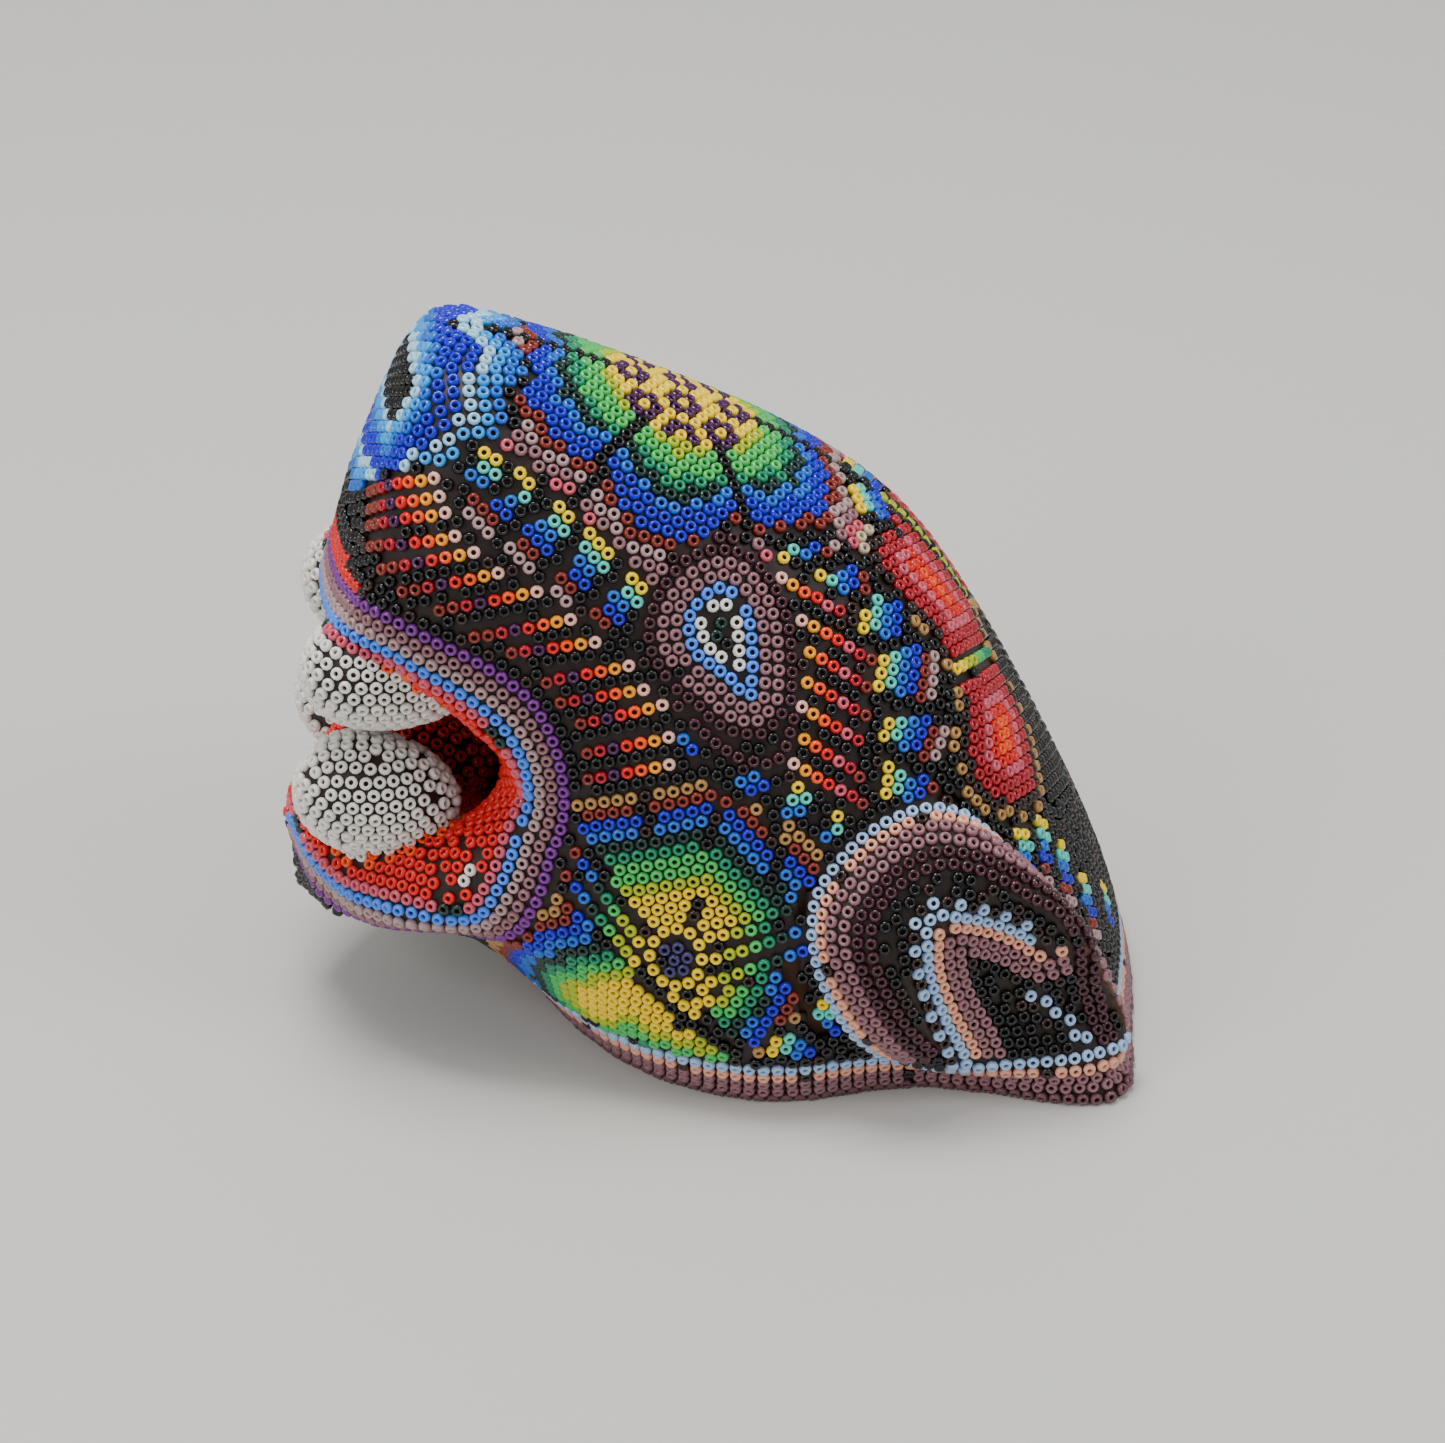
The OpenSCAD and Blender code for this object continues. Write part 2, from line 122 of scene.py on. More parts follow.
body = bmesh.new()
for name in ["wax_coat", *CARVED]:
    body.from_mesh(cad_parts[name].data)
bmesh.ops.remove_doubles(body, verts=body.verts, dist=0.01 * MM)
lump = bpy.data.meshes.new("wax_bed")
body.to_mesh(lump)
body.free()
shaper = bpy.data.objects.new("wax_shaper", lump)
bpy.context.scene.collection.objects.link(shaper)
remesh = shaper.modifiers.new("one_skin", "REMESH")
remesh.mode = "VOXEL"
remesh.voxel_size = VOXEL
thumbed = shaper.modifiers.new("thumbed", "SMOOTH")
thumbed.factor = 0.5
thumbed.iterations = 4
skin = bmesh.new()
skin.from_object(shaper, bpy.context.evaluated_depsgraph_get())
bpy.data.objects.remove(shaper)
bmesh.ops.symmetrize(skin, input=[*skin.verts, *skin.edges, *skin.faces], direction="-Y", dist=VOXEL / 8)
skin.normal_update()
skin.verts.ensure_lookup_table()
skin.faces.ensure_lookup_table()
skin_tree = BVHTree.FromBMesh(skin)


def snap(place):
    """The nearest place on the wax, and the outward direction there."""
    on, _, index, _ = skin_tree.find_nearest(place)
    corners = skin.faces[index].verts
    out = Vector()
    for v in corners:
        out += v.normal / ((v.co - on).length + 0.1 * MM)
    return on, out.normalized()


# The bead fields of the frame say which part of the head a place on the wax belongs to.
FIELDS = [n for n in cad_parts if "beads" in n]
field_corners, field_faces, field_names = [], [], []
for name in FIELDS:
    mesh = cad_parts[name].data
    start = len(field_corners)
    field_corners += [v.co.copy() for v in mesh.vertices]
    field_faces += [[start + v for v in f.vertices] for f in mesh.polygons]
    field_names += [name] * len(mesh.polygons)
field_tree = BVHTree.FromPolygons(field_corners, field_faces)
FIELD_REACH = 1.9 * MM    # a bead field lies no further than this from its wax


def field_at(place):
    """The name of the bead field over a place on the wax, or None on bare wood."""
    _, _, index, far = field_tree.find_nearest(place)
    return field_names[index] if far < FIELD_REACH else None


# Thumbed beeswax: dark brown, painted down to near black as painted shade for the bead holes and gaps,
# mottled at random by dust; soft gloss, slightly uneven.
beeswax_painted_shade, tree = new_material("campeche_beeswax_painted_shade")
where = add(tree, "ShaderNodeTexCoord", {}, {})
dust = add(tree, "ShaderNodeTexNoise", {}, {
    "Vector": where.outputs["Object"], "Scale": 1 / (3 * MM), "Detail": 3.0})
# Both colours are dark brown wax painted near black: painted shade for the holes and the gaps between
# beads.
tint = add(tree, "ShaderNodeMix", {"data_type": "RGBA"}, {
    "Factor": dust.outputs["Fac"], "A": linear("#0E0705"), "B": linear("#2C170C")})
wax = add(tree, "ShaderNodeBsdfPrincipled", {}, {
    "Base Color": tint.outputs["Result"], "Roughness": 0.5, "IOR": 1.44})
add(tree, "ShaderNodeOutputMaterial", {}, {"Surface": wax.outputs["BSDF"]})

# ---- Seed beads: laying them ----
# Size 11/0 glass seed beads, drawn from cane, cut and tumbled, 2.1 mm across with a 0.9 mm
# hole. Each is pressed into the wax hole outwards with a needle, against the ones before it.
BEAD = 2.1 * MM           # across a bead
TALL = 1.5 * MM           # along its hole
PITCH = 2.15 * MM         # from a bead to the next one
ROW = 0.87 * PITCH        # from a row to the next one, each bead in the gap of two
CLOSE = 0.93              # share of the pitch below which two filled-in beads would not both fit
DRAWN_CLOSE = 0.8         # the same for the rows that draw a motif, which are eased apart later
DRAWN_HELD = 0.25         # share of a filled-in bead's movement that a drawn row gives way by
FINE = 4                  # places along a line for each bead
TABLE_GAP = 1.08 * MM     # height of the lowest row's holes above the table

GLASS = {
    "jet": "#08070A", "smoke": "#2A1410", "pale_blue": "#A9C6EA", "peach": "#F0AA8E",
    "mauve": "#94686E", "light_mauve": "#B49493", "dark_mauve": "#744A50", "plum": "#451E28",
    "violet": "#7A2E8E", "cornflower": "#4A8CF8", "rose": "#D4586C", "red": "#E01610",
    "crimson": "#B01226", "brown": "#842A1E", "orange": "#FF5208", "amber": "#FFA40A",
    "pale_pink": "#F2BBAA", "yellow": "#FFDC00", "turquoise": "#54D4C4", "mid_blue": "#1468D0",
    "royal_blue": "#0C14C8", "lime": "#B4C214", "green": "#46C25E", "teal": "#128C62",
    "dark_green": "#0F332C", "bronze": "#B08448", "cream": "#C9B896", "sky": "#24A0F0",
    "ice": "#A9DAF2", "white": "#EDEAE2", "grape": "#47164A", "iris": "#3B3466",
}

beads = []                # [place on the wax, outward direction, glass, field, how firmly it is held]
cells = {}
CELL = 2 * PITCH


def cell_of(p):
    """The cell of the search grid that holds p."""
    return math.floor(p.x / CELL), math.floor(p.y / CELL), math.floor(p.z / CELL)


def near(p, reach):
    """The beads within reach of p, which is at most a cell."""
    x, y, z = cell_of(p)
    found = []
    for i in (x - 1, x, x + 1):
        for j in (y - 1, y, y + 1):
            for k in (z - 1, z, z + 1):
                for b in cells.get((i, j, k), ()):
                    if (beads[b][0] - p).length < reach:
                        found.append(b)
    return found


def lay(place, glass, close=CLOSE, held=1.0):
    """Presses a bead in on the left half if it fits there, and returns its number."""
    on, out = snap(place)
    if on.y > -0.5 * PITCH:
        on, out = snap(Vector((on.x, 0 if on.y > -0.3 * PITCH else -0.5 * PITCH, on.z)))
        if on.y > -0.3 * PITCH:
            on, out = Vector((on.x, 0, on.z)), Vector((out.x, 0, out.z)).normalized()
    field = field_at(on)
    if not glass or not field or on.z < TABLE_GAP or near(on, close * PITCH):
        return None
    beads.append([on, out, glass, field, held])
    cells.setdefault(cell_of(on), []).append(len(beads) - 1)
    return len(beads) - 1


def spot(x, y, z):
    """A place: % of the length from the muzzle, % of the half width to the left, % of the height."""
    return Vector((LOW.x + (HIGH.x - LOW.x) * x / 100, LOW.y * y / 100, HIGH.z * z / 100))


def evened(line, closed):
    """The same line with a place on the wax every quarter bead."""
    step = PITCH / FINE
    ends = [*line, line[0]] if closed else line
    made, left = [snap(ends[0])], step
    for a, b in zip(ends, ends[1:]):
        length = (b - a).length
        while left <= length:
            made.append(snap(a.lerp(b, left / length)))
            left += step
        left -= length
    return made


def path(spots, closed=False):
    """A smooth line over the wax through a few spots."""
    p = [snap(spot(*s))[0] for s in spots]
    n = len(p)
    line = []
    for k in range(n if closed else n - 1):
        a, b, c, d = (p[j % n] if closed else p[min(max(j, 0), n - 1)] for j in (k - 1, k, k + 1, k + 2))
        for t in (0, 0.125, 0.25, 0.375, 0.5, 0.625, 0.75, 0.875):
            line.append((2 * b + (c - a) * t + (2 * a - 5 * b + 4 * c - d) * t * t
                         + (3 * b - a - 3 * c + d) * t ** 3) / 2)
    return evened(line if closed else [*line, p[-1]], closed)


def beside(line, shift, closed=False):
    """A line shifted to the right over the wax, without the loops of its tight bends."""
    n = len(line)
    moved = []
    for k, (p, out) in enumerate(line):
        a, b = (line[j % n] if closed else line[min(max(j, 0), n - 1)] for j in (k - 3, k + 3))
        along = b[0] - a[0]
        for _ in range(3):
            p, out = snap(p + along.cross(out).normalized() * shift / 3)
        moved.append(p)
    clear = 0.86 * abs(shift)
    kept = [m for m in moved if min((m - p).length for p, _ in line) > clear]
    return evened(kept, closed) if len(kept) > 2 else []


def strand(line, glass, closed=False, start=0.0):
    """Lays a row of beads along a line. glass is one name, or a function of the bead's number."""
    if not line:
        return
    whole = max(1, round(len(line) / FINE))
    every = len(line) / whole if closed or abs(line[-1][0].y) < PITCH / FINE else FINE
    for k in range(int(len(line) / every + (0 if closed else 0.999))):
        at = min(int(round((k + start) * every)), len(line) - 1)
        lay(line[at][0], glass(k) if callable(glass) else glass, close=DRAWN_CLOSE, held=DRAWN_HELD)


def fill(glass, seeds, order=None, close=CLOSE):
    """Lays beads against the laid ones, each one touching two, wherever glass names a colour. The
    rows grow evenly from the seeds, or from the order's lowest value upwards."""
    waiting = []
    rank = {}

    def offer(b):
        p, out = beads[b][0], beads[b][1]
        for other in near(p, 1.75 * PITCH):
            q = beads[other][0]
            axis = q - p
            if axis.length < 0.8 * PITCH:
                continue
            rise = math.sqrt(max(PITCH ** 2 - axis.length_squared / 4, 0))
            side = axis.cross(out + beads[other][1]).normalized() * rise
            step = 1 + max(rank.get(b, 0), rank.get(other, 0))
            for place in ((p + q) / 2 + side, (p + q) / 2 - side):
                if place.y < 0.6 * PITCH:
                    value = order(place) if order else step
                    heapq.heappush(waiting, (round(value, 5), len(waiting), step, place.freeze()))

    for b in seeds:
        offer(b)
    while waiting:
        _, _, step, place = heapq.heappop(waiting)
        if near(place, 0.8 * PITCH):
            continue
        name = glass(place)
        if not name:
            continue
        made = lay(place, name, close)
        if made is not None:
            rank[made] = step
            offer(made)


def drawing(centre, top):
    """Turns places on the wax into mm to the right, up, away and below a centre, as seen from outside."""
    origin, out = snap(spot(*centre))
    up = Vector(top)
    up = (up - out * up.dot(out)).normalized()
    right = up.cross(out)
    return lambda p: ((p - origin).dot(right) / MM, (p - origin).dot(up) / MM,
                      (p - origin).length / MM, (origin - p).dot(out) / MM)


def pick(row, names):
    """The glass of a row, the last name going on for ever."""
    return names[max(0, min(int(row), len(names) - 1))]


# ---- Rim rows ----
# Five rows round the neck cut, laid first from the table up: dark mauve, two of mauve, peach with
# a smoky bead here and there, and pale blue.
rim = path([(25, 0, 1), (37, 58, 1), (54, 82, 1), (70, 77, 1), (91.5, 94, 1), (97, 56, 1), (100, 0, 1)])
RIM_LOW = 1.15 * MM       # height of the lowest row, just clear of the table
row_line = [snap(Vector((p.x, p.y, RIM_LOW))) for p, _ in rim]
for k, name in enumerate(["dark_mauve", "mauve", "mauve", "peach", "pale_blue"]):
    strand(row_line, (lambda j: "smoke" if j % 9 == 4 else "peach") if name == "peach" else name,
           start=0.5 * (k % 2))
    row_line = beside(row_line, -ROW)

# ---- Lips ----
# Rows round the mouth. The cornflower row lies on the crest of the lips, with light mauve, mauve
# and violet outside it and one row of clear rose inside it.
crest = path([(6, 0, 63), (7, 25, 63.5), (12, 47, 63.5), (16.5, 54, 61.5), (21, 59, 59),
              (25.5, 62.5, 54.5), (27.5, 63, 46.5), (26, 65, 38), (24.5, 66, 32), (21, 65, 26),
              (12, 54, 25.5), (5, 34, 24), (1, 10, 27), (0.5, 0, 27)])
strand(crest, "cornflower")
outward = crest
for k, name in enumerate(["light_mauve", "mauve", "violet"]):
    outward = beside(outward, -ROW)
    strand(outward, name, start=0.5 * ((k + 1) % 2))
inward = beside(crest, ROW)
strand(inward, lambda j: "dark_green" if j % 17 in (5, 6) else "rose", start=0.5)
for place in [(21, 62, 33.5), (20.5, 62, 32), (21.3, 62.5, 31.5)]:
    lay(spot(*place), "white", close=0.8)

# ---- Ears ----
# A leaf outlined in pale blue, with peach, mauve and plum rows inside it, and an inner leaf of pale
# blue, peach and mauve rows, dotted outside, round a black hollow with stray pale blue beads.
outline = path([(66.5, 86.5, 7), (61, 90, 17.5), (58, 87.5, 28.5), (59.5, 84, 35), (64.5, 78.5, 41),
                (71, 73, 43), (76, 70, 40), (81, 70, 33.5), (86, 69.5, 25), (92, 70.5, 12),
                (95, 71.5, 4.5)])
ear_rows = outline
for k, name in enumerate(["pale_blue", "peach", "mauve", "mauve"]):
    strand(ear_rows, (lambda j: "smoke" if j % 7 == 3 else "peach") if name == "peach" else name,
           start=0.5 * (k % 2))
    ear_rows = beside(ear_rows, ROW)
for k in range(2):
    strand(ear_rows, "plum", start=0.5 * (k % 2))
    ear_rows = beside(ear_rows, ROW)
arch = path([(76.5, 84.5, 4.5), (71.5, 87, 15), (69, 86.5, 25), (70, 84, 30.5), (73, 82, 31.5),
             (81.5, 78, 27), (86, 76.5, 21), (90.5, 73, 14), (93.5, 78, 5)])
strand(arch, "pale_blue")
arch_rows = beside(arch, -ROW)
strand(arch_rows, lambda j: "smoke" if j % 2 else "pale_blue", start=0.5)
arch_rows = beside(arch, ROW)
for k, name in enumerate(["peach", "mauve", "mauve"]):
    strand(arch_rows, name, start=0.5 * ((k + 1) % 2))
    arch_rows = beside(arch_rows, ROW)
for place in [(81, 83, 22), (82, 82.5, 20), (83, 82, 19.5), (82.5, 83, 16.5), (84, 82, 15.5),
              (85, 82, 13), (84, 83, 12.5), (86.5, 81, 11.5), (87, 82, 9), (88, 81.5, 8)]:
    lay(spot(*place), "pale_blue", close=0.85)

# ---- Eyes ----
# A teardrop: a cornflower ring with white and a dark green pupil inside it, two rows of mauve and
# one of plum round it, and a plum outline. Black beads fill what is left.
teardrop = path([(54, 48, 73.5), (56, 54, 68), (56.5, 61, 63), (56.5, 68.5, 56), (54.5, 73.5, 51),
                 (50, 72.5, 52), (45.5, 69, 56.5), (42.5, 65, 61.5), (41, 61, 67.5),
                 (42, 56.5, 73), (46, 51, 76), (50.5, 45.5, 77.5)], closed=True)
iris_row = path([(52, 55.5, 69), (52.5, 60.5, 64.5), (52, 66.5, 59), (49.5, 64.5, 61.5),
                 (46.5, 62.5, 64.5), (45.5, 60, 67.5), (46.5, 56.5, 70.5), (49.5, 53, 72)], closed=True)
strand(iris_row, "cornflower", closed=True)
strand(beside(iris_row, ROW, closed=True), "white", closed=True, start=0.5)
pupil_centre = snap(spot(49.2, 58.5, 68))[0]
lay(pupil_centre, "dark_green", close=0.75)
fill(lambda p: "dark_green" if (p - pupil_centre).length < 2.5 * MM else None,
     near(pupil_centre, 2 * PITCH))
eye_row = iris_row
for k, name in enumerate(["mauve", "mauve", "plum"]):
    eye_row = beside(eye_row, -ROW, closed=True)
    strand(eye_row, name, closed=True, start=0.5 * ((k + 1) % 2))
strand(teardrop, "plum", closed=True)

# ---- Whisker and temple stripes ----
# Single rows of beads that fade from pale pink through the reds to brown, with black between.
FADE = ["pale_pink", "amber", "orange", "red", "grape", "crimson", "brown", "brown", "smoke"]
TEMPLE = ["pale_pink", "amber", "orange", "red", "rose", "crimson", "brown"]


def stripe(a, b, names):
    """One row of beads from a to b, then on past it for the last names."""
    place, out = snap(a)
    ahead = (b - place).normalized()
    for name in names:
        lay(place, name, close=0.85, held=0.25)
        if (b - place).length > PITCH:
            ahead = (b - place).normalized()
        place, out = snap(place + ahead * PITCH)


for a, b in [((19, 42, 86.5), (10.5, 16, 78.5)), ((19.5, 44.5, 84.5), (10.5, 20.5, 77)),
             ((20, 47, 82.5), (10.5, 24, 75.5)), ((21, 50, 80), (10.5, 30, 74)),
             ((23, 52, 78), (12, 41.5, 73.5)), ((25.5, 54.5, 75.5), (14.5, 49, 72)),
             ((29.5, 56.5, 73), (18.5, 54.5, 70.5)), ((33, 59, 69.5), (22, 58, 67)),
             ((35.5, 61, 66.5), (25, 60, 65)), ((39, 63.5, 63.5), (28.5, 62.5, 61)),
             ((40.5, 65.5, 60.5), (30.5, 64, 58.5)), ((42.5, 67.5, 58.5), (32, 66, 55.5)),
             ((43, 70.5, 54.5), (32.5, 67.5, 51.5)), ((43, 72.5, 51), (33, 68.5, 48))]:
    stripe(spot(*a), spot(*b), FADE)
for a, b in [((56, 49, 72), (64, 51, 66)), ((58, 54.5, 67), (66, 56.5, 61)),
             ((57.5, 58.5, 64.5), (65.5, 61.5, 58)), ((57, 63, 61), (65.5, 65.5, 54.5)),
             ((57.5, 67, 57.5), (65, 69.5, 51.5)), ((56.5, 70, 54.5), (65, 73.5, 47)),
             ((56.5, 73, 50.5), (64.5, 76, 44.5))]:
    stripe(spot(*a), spot(*b), TEMPLE)

# ---- Stepped blocks ----
# Short ladders of yellow, turquoise, blues, brown and mauve that fill the corners between the
# other motifs, each rung two to four beads wide.
LADDER = ["yellow", "turquoise", "mid_blue", "royal_blue", "brown", "light_mauve"]


def ladder(a, b, wide, rungs):
    """Rungs of beads from a towards b, each half a bead to the side of the last, with black beside."""
    place, out = snap(spot(*a))
    end = snap(spot(*b))[0]
    ahead = (end - place).normalized()
    for k in range(rungs):
        if (end - place).length > ROW:
            ahead = (end - place).normalized()
        across = ahead.cross(out) * 0.95 * PITCH
        for j in [*range(wide), -1, wide]:      # the rung, then a black bead at each end
            lay(place + across * (j - (wide - 1) / 2 + 0.25 * (-1) ** k),
                LADDER[k] if 0 <= j < wide else "jet", close=0.82, held=0.25)
        place, out = snap(place + ahead * ROW)


for a, b, wide, rungs in [
    ((25.5, 41.5, 89), (23.5, 46, 86), 2, 3), ((28.5, 44.5, 87), (23, 49.5, 81.5), 3, 6),
    ((32.5, 49, 83), (27, 53.5, 77), 3, 6), ((36.5, 53, 78.5), (31, 57, 73), 3, 6),
    ((40, 56, 74), (35, 60, 69), 3, 5), ((40.5, 59.5, 69.5), (38.5, 62, 66), 1, 2),
    ((46, 68, 57.5), (47, 73, 50), 3, 4), ((51, 72.5, 52), (52.5, 77, 46), 2, 4),
    ((56.5, 75.5, 47.5), (57, 80, 41), 2, 3), ((61.5, 78, 43.5), (59.5, 80, 39.5), 1, 3),
    ((56.5, 44, 74.5), (63.5, 35, 73), 1, 6), ((60.5, 45.5, 71), (66, 40, 69), 2, 5),
    ((65.5, 48, 66.5), (69, 45.5, 64), 3, 4), ((67, 55.5, 60.5), (72.5, 51, 57), 4, 6),
    ((67.5, 64, 54), (73.5, 63, 49.5), 3, 6), ((67, 71.5, 47.5), (74, 67.5, 44.5), 3, 5),
    ((83, 61, 35), (83, 69, 30), 2, 4), ((86, 50, 33.5), (85, 66, 28), 2, 6),
    ((88.5, 46, 29), (88.5, 62.5, 22), 2, 6), ((91.5, 43, 22.5), (92, 57, 15), 2, 6),
    ((95, 27, 16), (95, 42, 11), 2, 4), ((66, 11, 75), (70, 6, 71.5), 3, 4),
    ((59, 91, 18), (60, 91, 12), 2, 4), ((54, 91, 12), (60, 90, 10), 2, 4),
]:
    ladder(a, b, wide, rungs)

# ---- Nose flower ----
# A blue flower over the tip of the nose: black eye, pale ring, blues, and a scalloped pale ring.
nose = drawing((15, 0, 91), (0, 0, 1))
NOSE_ROWS = ["jet", "jet", "ice", "sky", "mid_blue", "royal_blue", "royal_blue", "ice", "sky", "mid_blue"]
NOSE_CORE = 7.0           # half width in mm of the black eye's straight part


def nose_glass(p):
    """The glass of the ring that p is in, or None past the last one."""
    x, y, _, deep = nose(p)
    aside = max(abs(x) - NOSE_CORE, 0)
    far = math.sqrt(aside ** 2 + (y - 2) ** 2 + deep ** 2)
    lobe = 0.5 + 0.5 * math.cos(8 * (math.atan2(y - 2, abs(x)) + 0.14))
    ring = (far + 1.3 * lobe * far / 12) / (ROW / MM)
    return pick(ring, NOSE_ROWS) if ring < len(NOSE_ROWS) else None


def grow(centre, toward, glass, close=CLOSE):
    """Lays two beads at a centre, the second one toward a spot, and fills outwards from them."""
    a = snap(spot(*centre))[0]
    b = snap(a + (spot(*toward) - a).normalized() * PITCH)[0]
    seeds = [s for s in (lay(a, glass(a)), lay(b, glass(b))) if s is not None]
    fill(glass, seeds, lambda p: (p - a).length, close)


grow((14.5, 0, 90), (17, 0, 97), nose_glass)

# ---- Bridge flower ----
# A six-petalled flower over the bridge of the nose: rosettes on yellow, then greens and blues,
# black between the petals, and outer scallops from brown to cream.
bridge = drawing((46.9, 0, 89), (-0.89, 0, 0.45))
ROSETTES = [(3.7, 0), (7.45, 6.45), (7.45, -6.45), (11.2, 0), (0, 8.6), (0, -8.6)]
PETAL = ["lime", "green", "green", "teal", "dark_green", "mid_blue", "royal_blue", "royal_blue",
         "brown", "light_mauve", "mauve", "rose", "cream"]
YELLOW_END = 13.0         # mm from the centre to where the petals start


def bridge_glass(p):
    """The glass of the rosettes, the petal rows or the black between petals, or None past them."""
    x, y, r, _ = bridge(p)
    angle = math.atan2(y, x)
    off = (angle / math.radians(60) + 0.5) % 1 - 0.5
    ring = (r + 4.5 * (2 * off) ** 2 * r / 26 - YELLOW_END) / (ROW / MM)
    if ring < 0:
        ringed = min(math.hypot(abs(x) - a, y - b) for a, b in ROSETTES)
        return "grape" if 0.6 < ringed / (PITCH / MM) < 1.45 else "yellow"
    if 0.5 < ring and (0.5 - abs(off)) * math.radians(60) * r < 1.0:
        return "jet"
    return pick(ring, PETAL) if ring < len(PETAL) else None


grow((46.9, 0, 89), (40, 0, 92), bridge_glass)

# ---- Cheek flowers ----
# A flower behind each corner of the mouth: a dark iris ringed with yellow, three petals that
# fade from yellow to bronze, single-bead rays, and a band of the same colours below.
cheek = drawing((43, 83, 24), (0, 0, 1))
SHADES = ["yellow", "yellow", "lime", "green", "teal", "dark_green", "mid_blue", "royal_blue",
          "brown", "bronze"]
RAY = ["yellow", "lime", "lime", "green", "teal", "dark_green", "mid_blue", "royal_blue", "brown"]
STEP = 1.97               # mm from a row of a petal to the next, seen square on


cheek_at, cheek_out = snap(spot(43, 83, 24))
cheek_up = (Vector((0, 0, 1)) - cheek_out * cheek_out.z).normalized()
cheek_right = cheek_up.cross(cheek_out)
BAND = [(-13.5, -11.5), (-8.5, -7.8), (-3.5, -9.6), (3.5, -11.0)]    # yellow line of the lower band


def on_cheek(x, y):
    """The place on the wax over a point of the cheek's drawing."""
    start = cheek_at + (cheek_right * x + cheek_up * y) * MM
    return skin_tree.ray_cast(start + cheek_out * 20 * MM, -cheek_out)[0] or start


def ray(x, y, to_x, to_y, names):
    """A straight row of single beads between two points of the cheek's drawing."""
    a, b = on_cheek(x, y), on_cheek(to_x, to_y)
    stripe(a, b, names)


for k in range(12):
    turn = math.tau * k / 12
    lay(on_cheek(0.3 + 4.1 * math.cos(turn), 0.4 + 4.9 * math.sin(turn)), "yellow", close=0.8, held=0.25)
ray(-5.6, 2.6, -16.3, 17.4, RAY)
ray(-6.2, -0.9, -18.0, 14.2, RAY)
ray(6.6, 0.7, 17.4, 5.2, RAY[:7])
ray(5.9, -3.0, 19.2, 2.4, RAY[:8])
ray(-5.0, -2.4, 4.2, -9.9, ["yellow"] * 6)


def to_band(x, y):
    """Distance in mm from the yellow line of the lower band."""
    far = 99.0
    for (ax, ay), (bx, by) in zip(BAND, BAND[1:]):
        share = ((x - ax) * (bx - ax) + (y - ay) * (by - ay)) / ((bx - ax) ** 2 + (by - ay) ** 2)
        share = min(max(share, 0), 1)
        far = min(far, math.hypot(x - ax - (bx - ax) * share, y - ay - (by - ay) * share))
    return far


def cheek_glass(p):
    """The glass of the three petals, the iris and the lower band, with black between them."""
    x, y, r, _ = cheek(p)
    if math.hypot(x - 0.3, y - 0.4) < 4.6:
        return "iris"
    if y > 5 and x > -5.3 - 0.78 * (y - 8.3) - 0.8 and x < 1.4 + 0.2 * (y - 9) + 0.8:
        row = ((y - 0.24 * x) / 1.03 - 8.3) / STEP
        return "jet" if row > 6 and abs(x + 5.1) < 1 else pick(row, SHADES) if row < 10 else None
    if x > 4.1 + 0.173 * (y - 8.2) - 0.8 and y > 0.41 * x + 0.5:
        row = (max(0.629 * x + 0.777 * y, x + 2.8) - 8.3) / STEP
        return "jet" if row > 6 and abs(x - 15) < 1 else pick(row, SHADES) if row < 10 else None
    if y < -3.0 + 0.2 * (x - 8) and y > -4.3 - 0.86 * x:
        row = (r - 5.8) / 1.6
        return pick(row, SHADES) if row < 10 else None
    if 0.79 * x + 0.614 * y < -7.0 and y < 12 or y < -6.2 - 0.72 * (x + 7) and 0.86 * x + y < -6:
        row = (to_band(x, y) - 1.4) / 2.0
        return pick(row, SHADES[1:]) if row < 9 else None
    return "jet" if r < 22 else None


def petal_glass(p):
    """The cheek's glass without the black, which the background lays."""
    name = cheek_glass(p)
    return None if name == "jet" else name


def sector(x, y, turn):
    """Fills one part of the cheek flower in rows that run in the direction turn."""
    turn = math.radians(turn)
    a = on_cheek(x, y)
    b = on_cheek(x + PITCH / MM * math.cos(turn), y + PITCH / MM * math.sin(turn))
    seeds = [s for s in (lay(a, cheek_glass(a)), lay(b, cheek_glass(b))) if s is not None]
    fill(petal_glass, seeds, lambda p: (p - a).length)


sector(-3, 14, 13.5)
sector(10, 14, -39)
sector(12, -6, 65)
sector(-8, -9, -40)
sector(0, 0, 15)

# ---- Forehead cells ----
# Long cells down the forehead, in rows from their bronze outline in: smoky, two of crimson, rose,
# red, orange and yellow. A lime row runs down the middle, and one from yellow to teal between two.
CELL_ROWS = ["bronze", "smoke", "crimson", "crimson", "rose", "red", "orange", "yellow"]


def cell(spots, centre, toward):
    """Fills a closed outline with rows coloured by their distance from it, from the centre out."""
    edge = path(spots, closed=True)

    def glass(p):
        k = min(range(len(edge)), key=lambda j: (edge[j][0] - p).length)
        along = edge[(k + 3) % len(edge)][0] - edge[k - 3][0]
        deep = (p - edge[k][0]).dot(along.cross(edge[k][1]).normalized())
        return pick((edge[k][0] - p).length / ROW + 0.5, CELL_ROWS) if deep > -0.3 * ROW else None

    grow(centre, toward, glass)


